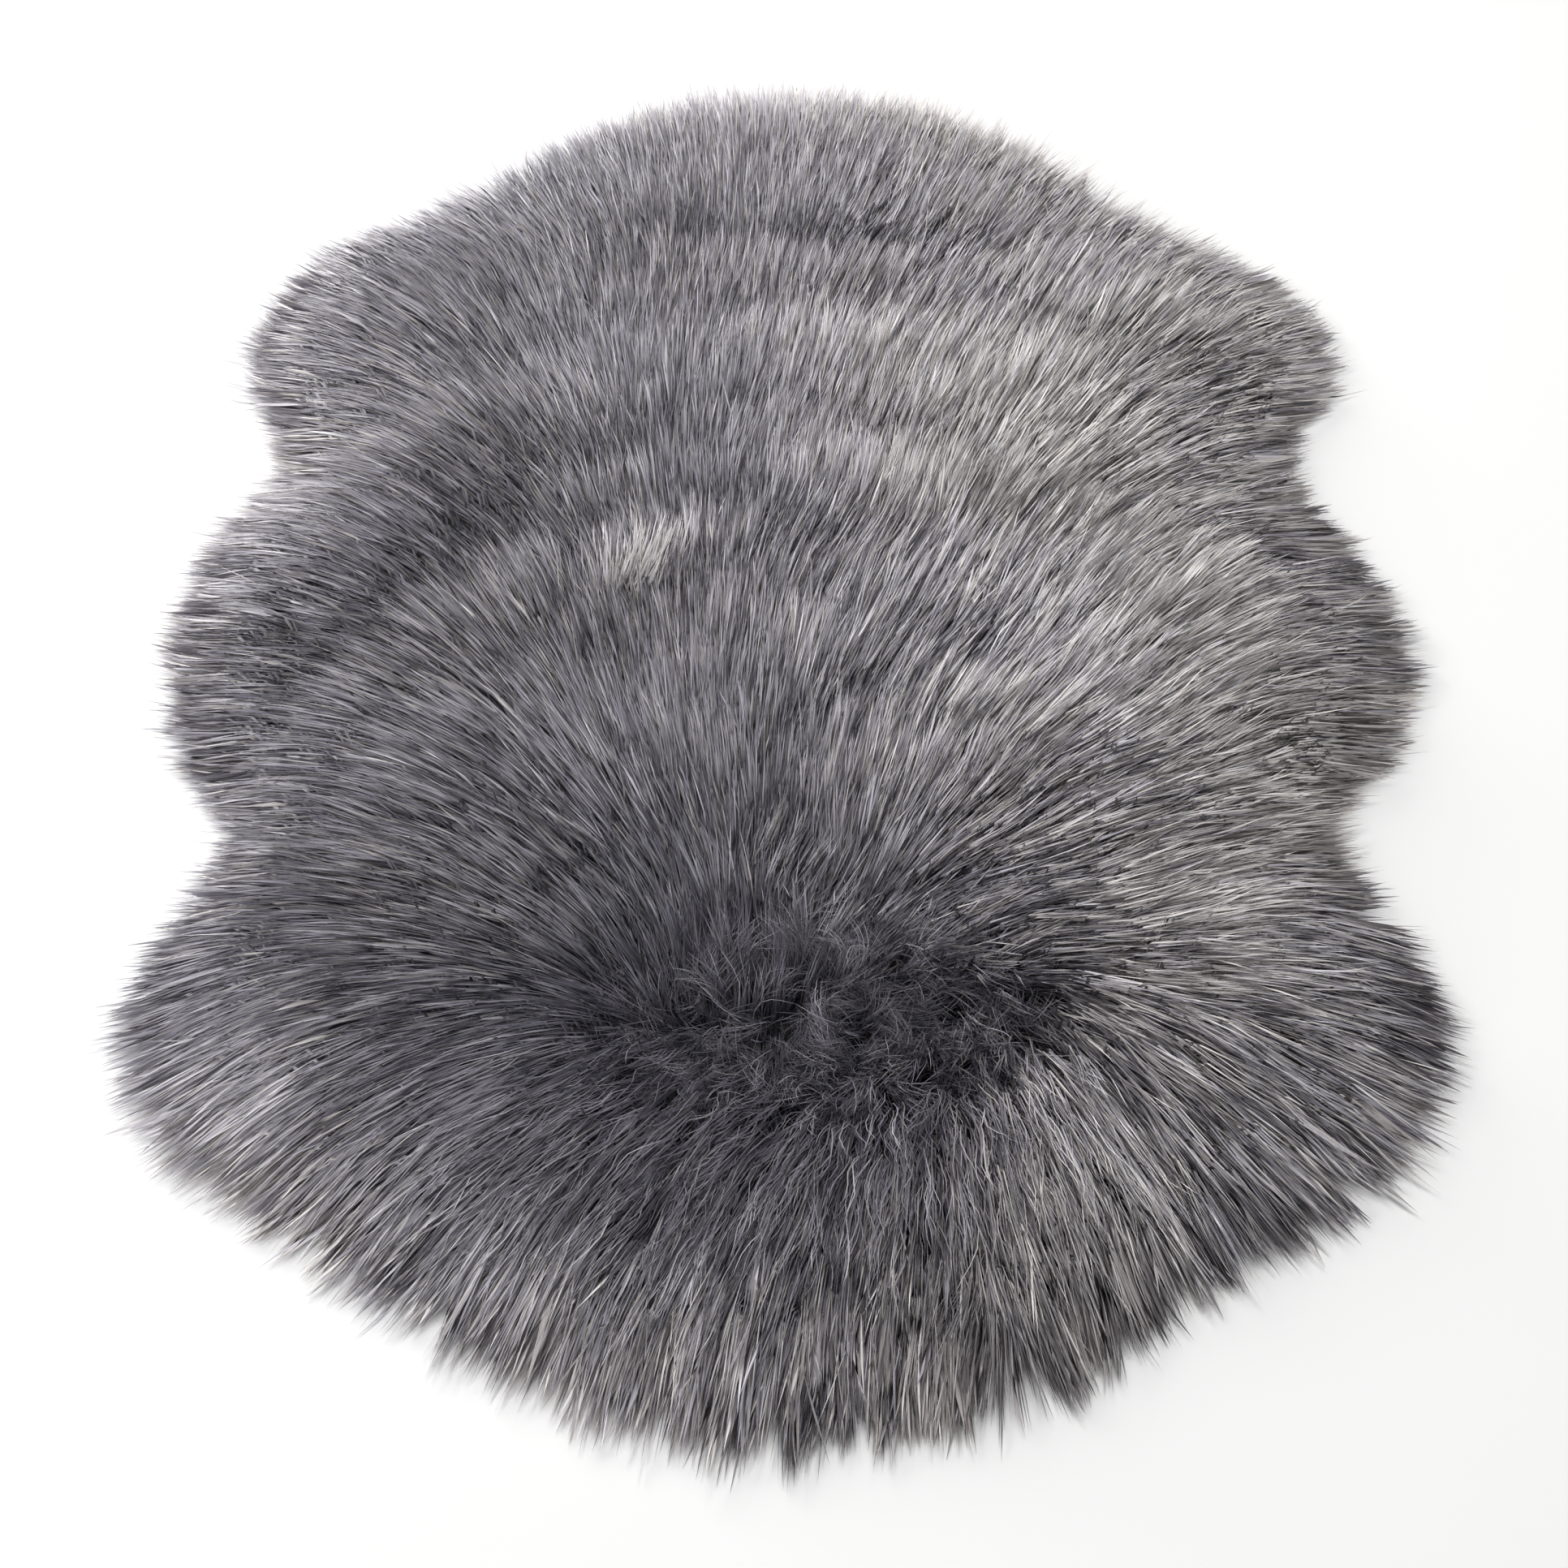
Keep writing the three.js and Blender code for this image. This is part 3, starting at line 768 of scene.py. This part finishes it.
# ---- the ground cloth -----------------------------------------------------
def ground_cloth():
    """A closed sheet with its cut edge, in rings that shrink towards its middle line."""
    spine = np.stack([np.zeros(len(ground_edge)), np.clip(ground_edge[:, 1], -SPINE_HALF, SPINE_HALF)], 1)
    rings = [spine + (ground_edge - spine) * s - CENTRE for s in (1, 0.975, 0.85, 0.7, 0.55, 0.4, 0.25, 0.1)]
    n = len(rings[0])
    verts, faces = [], []
    for z in (GROUND_THICKNESS, 0.0):
        for ring in rings:
            verts += [(x, y, z) for x, y in ring]
    layers = len(rings)
    top, bottom = 0, layers * n
    for base, flip in ((top, False), (bottom, True)):
        for r in range(layers - 1):
            for i in range(n):
                a, b = base + r * n + i, base + r * n + (i + 1) % n
                c, d = b + n, a + n
                faces.append((a, b, c, d) if not flip else (a, d, c, b))
        # the last ring is closed by a strip from side to side
        o = base + (layers - 1) * n
        for i in range(n // 2):
            q = []
            for k in (i, i + 1, (n - i - 1) % n, (n - i) % n):
                if o + k not in q:
                    q.append(o + k)
            if len(q) > 2:
                faces.append(tuple(q) if not flip else tuple(reversed(q)))
    for i in range(n):
        a, b = i, (i + 1) % n
        faces.append((a, bottom + a, bottom + b, b))
    me = bpy.data.meshes.new("ground_cloth")
    me.from_pydata([(x * MM, y * MM, z * MM) for x, y, z in verts], [], faces)
    me.update()
    ob = bpy.data.objects.new("ground_cloth", me)
    bpy.context.scene.collection.objects.link(ob)
    me.materials.append(ground_material())
    return ob


# ---- build ----------------------------------------------------------------
pieces = []
centre3 = np.array((CENTRE[0], CENTRE[1], 0))

# Each strand is a thin stalk up to its bend, and a strip from there that narrows to its tip.
MAIN_AT = (0.04, 0.52, 0.545, 0.78, 1.0)
MAIN_W = (0, 1.1, 1.1, 0.9, 0)
main = strands(*scatter(1.34, only=lambda x, y: rng.random(len(x)) > 0.5 * lie_up(x, y) + 0.45 * lie_waves(x, y)), 0.53, sway=0.12)
v = ribbons(main, MAIN_AT, MAIN_W, rng.normal(0, 0.45, main["n"]))
v = floor_limit(v, rng.uniform(0.6, 3.5, main["n"])) - centre3
tone = tone_of(main)
order = np.argsort(main["y"], kind="stable")
root = root_of(main)
for i, idx in enumerate(np.array_split(order, 5)):
    pieces.append(strip_mesh("pile_%d" % (i + 1), v[idx], tone[idx], MAIN_AT, pile, root[idx]))

CURL_AT = (0.06, 0.38, 0.52, 0.64, 0.75, 0.85, 0.93, 1.0)
CURL_W = (0, 1.0, 1.0, 1.0, 0.9, 0.8, 0.5, 0)
curls = curled(*scatter(1.6, only=lambda x, y: rng.random(len(x)) < lie_up(x, y)), 0.28)
v = ribbons(curls, CURL_AT, CURL_W, rng.normal(0, 0.6, curls["n"]), pairs=True)
v = floor_limit(v, rng.uniform(0.6, 3.5, curls["n"])) - centre3
pieces.append(strip_mesh("pile_curls", v, tone_of(curls, 0.40, 0.21, 0), CURL_AT, soft))

WAVE_AT = (0.04, 0.42, 0.445, 0.58, 0.70, 0.81, 0.91, 1.0)
WAVE_W = (0, 1.0, 1.0, 1.0, 1.0, 0.8, 0.6, 0)
waves = strands(*scatter(2.4, only=lambda x, y: rng.random(len(x)) < lie_waves(x, y)), 0.44, length=1.04, stray=0.02, rise=2.0, wave=1.0)
v = ribbons(waves, WAVE_AT, WAVE_W, rng.normal(0, 0.45, waves["n"]), pairs=True)
v = floor_limit(v, rng.uniform(0.6, 3.5, waves["n"])) - centre3
pieces.append(strip_mesh("pile_waves", v, tone_of(waves, 0.46, 0.08, 0.08), WAVE_AT, pile, root_of(waves)))

# Guard strands: longer strands of a lighter tone, partly their own colour and partly painted highlight along the fur.
GUARD_AT = (0.04, 0.42, 0.445, 0.60, 0.76, 0.89, 1.0)
GUARD_W = (0, 1.0, 1.0, 1.0, 0.85, 0.6, 0)
guard = strands(*scatter(4.3, only=lambda x, y: rng.random(len(x)) > lie_up(x, y) + 0.7 * lie_waves(x, y)), 0.42, length=1.06, stray=0.04, spread=0.035, rise=1.5)
v = ribbons(guard, GUARD_AT, GUARD_W, rng.normal(0, 0.5, guard["n"]))
v = floor_limit(v, rng.uniform(0.6, 3.5, guard["n"])) - centre3
pieces.append(strip_mesh("guard_strands", v, tone_of(guard, 0.57, 0.12), GUARD_AT, pile, root_of(guard)))

# The fringe: fine strands at the cut edge, painted lighter on the left and far edge as light shining through them.
FRINGE_AT = (0.04, 0.50, 0.525, 0.66, 0.84, 1.0)
FRINGE_W = (0, 1.0, 1.0, 0.9, 0.7, 0)
fringe = strands(*scatter(2.2, only=lambda x, y: edge_distance(ground_edge, x, y) < 16), 0.36, length=1.08, stray=0.02, spread=0.05, rise=-1.0, low=0.04)
v = ribbons(fringe, FRINGE_AT, FRINGE_W, rng.normal(0, 0.5, fringe["n"]))
v = floor_limit(v, rng.uniform(0.6, 6.0, fringe["n"])) - centre3
painted_rim_light = wisp["painted_rim_light"][fringe["who"]]
pieces.append(strip_mesh("fringe", v, tone_of(fringe, 0.54 + 0.20 * painted_rim_light, 0.07), FRINGE_AT, pile, root_of(fringe)))

# Underfur in the whorl only, in the material of painted shade.
UNDER_AT = (0.0, 0.45, 0.5, 0.75, 1.0)
low = strands(*scatter(2.9, only=lambda x, y: lie_up(x, y) > 0.05), 1.3, length=0.6, grip=0.5, stray=0.2, spread=0.15)
v = ribbons(low, UNDER_AT, (0, 1, 1, 0.8, 0), rng.normal(0, 0.8, low["n"]))
v = floor_limit(v, rng.uniform(0.6, 2.5, low["n"])) - centre3
pieces.append(strip_mesh("underfur", v, tone_of(low), UNDER_AT, underfur_shade, root_of(low)))

ground = ground_cloth()
for p in pieces + [ground]:
    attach(p, "root")
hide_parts("pile_fabric")

# ---- floor, light, camera ---------------------------------------------------
sc = bpy.context.scene
sc.view_settings.view_transform = "Standard"
sc.view_settings.look = "None"
sc.view_settings.exposure = 0
sc.view_settings.gamma = 1

bpy.ops.mesh.primitive_plane_add(size=12, location=(0, 0, 0))
floor = bpy.context.object
floor.name = "floor"
fm, ft = nodes_of("floor")
fb = ft.nodes.new("ShaderNodeBsdfPrincipled")
fb.inputs["Base Color"].default_value = (0.9, 0.9, 0.9, 1)
fb.inputs["Roughness"].default_value = 0.9
fb.inputs["Specular IOR Level"].default_value = 0.2
fo = ft.nodes.new("ShaderNodeOutputMaterial")
ft.links.new(fb.outputs[0], fo.inputs[0])
floor.data.materials.append(fm)

world = bpy.data.worlds.new("studio")
sc.world = world
world.use_nodes = True
bg = world.node_tree.nodes["Background"]
bg.inputs["Color"].default_value = (0.97, 0.98, 1.0, 1)
bg.inputs["Strength"].default_value = 0.09


def area_light(name, azimuth, elevation, size, watts, colour):
    """A round soft light 3 m from the rug; azimuth 0 is +X, 90 is +Y."""
    a, e = math.radians(azimuth), math.radians(elevation)
    place = Vector((math.cos(a) * math.cos(e), math.sin(a) * math.cos(e), math.sin(e))) * 3
    data = bpy.data.lights.new(name, "AREA")
    data.shape = "DISK"
    data.size = size
    data.energy = watts
    data.color = colour
    ob = bpy.data.objects.new(name, data)
    ob.location = place
    ob.rotation_euler = (-place).to_track_quat("-Z", "Y").to_euler()
    sc.collection.objects.link(ob)
    return ob


area_light("top", 90, 80, 2.0, 72, (1.0, 0.995, 0.99))
area_light("back left", 135, 25, 1.5, 58, (1.0, 0.98, 0.96))
area_light("front left", 225, 25, 1.5, 28, (0.99, 0.99, 1.0))

PITCH = math.radians(48.06)
cam = bpy.data.cameras.new("camera")
cam.sensor_width = 36
cam.sensor_fit = "HORIZONTAL"
cam.lens = 36 * 3684 / 1932
cam_ob = bpy.data.objects.new("camera", cam)
cam_ob.location = ((-2.2 - CENTRE[0] + 0.0) * MM, -1.0187, 1.0277 + 0.012)
cam_ob.rotation_euler = (math.pi / 2 - PITCH, 0, 0)
cam.clip_end = 50
sc.collection.objects.link(cam_ob)
sc.camera = cam_ob
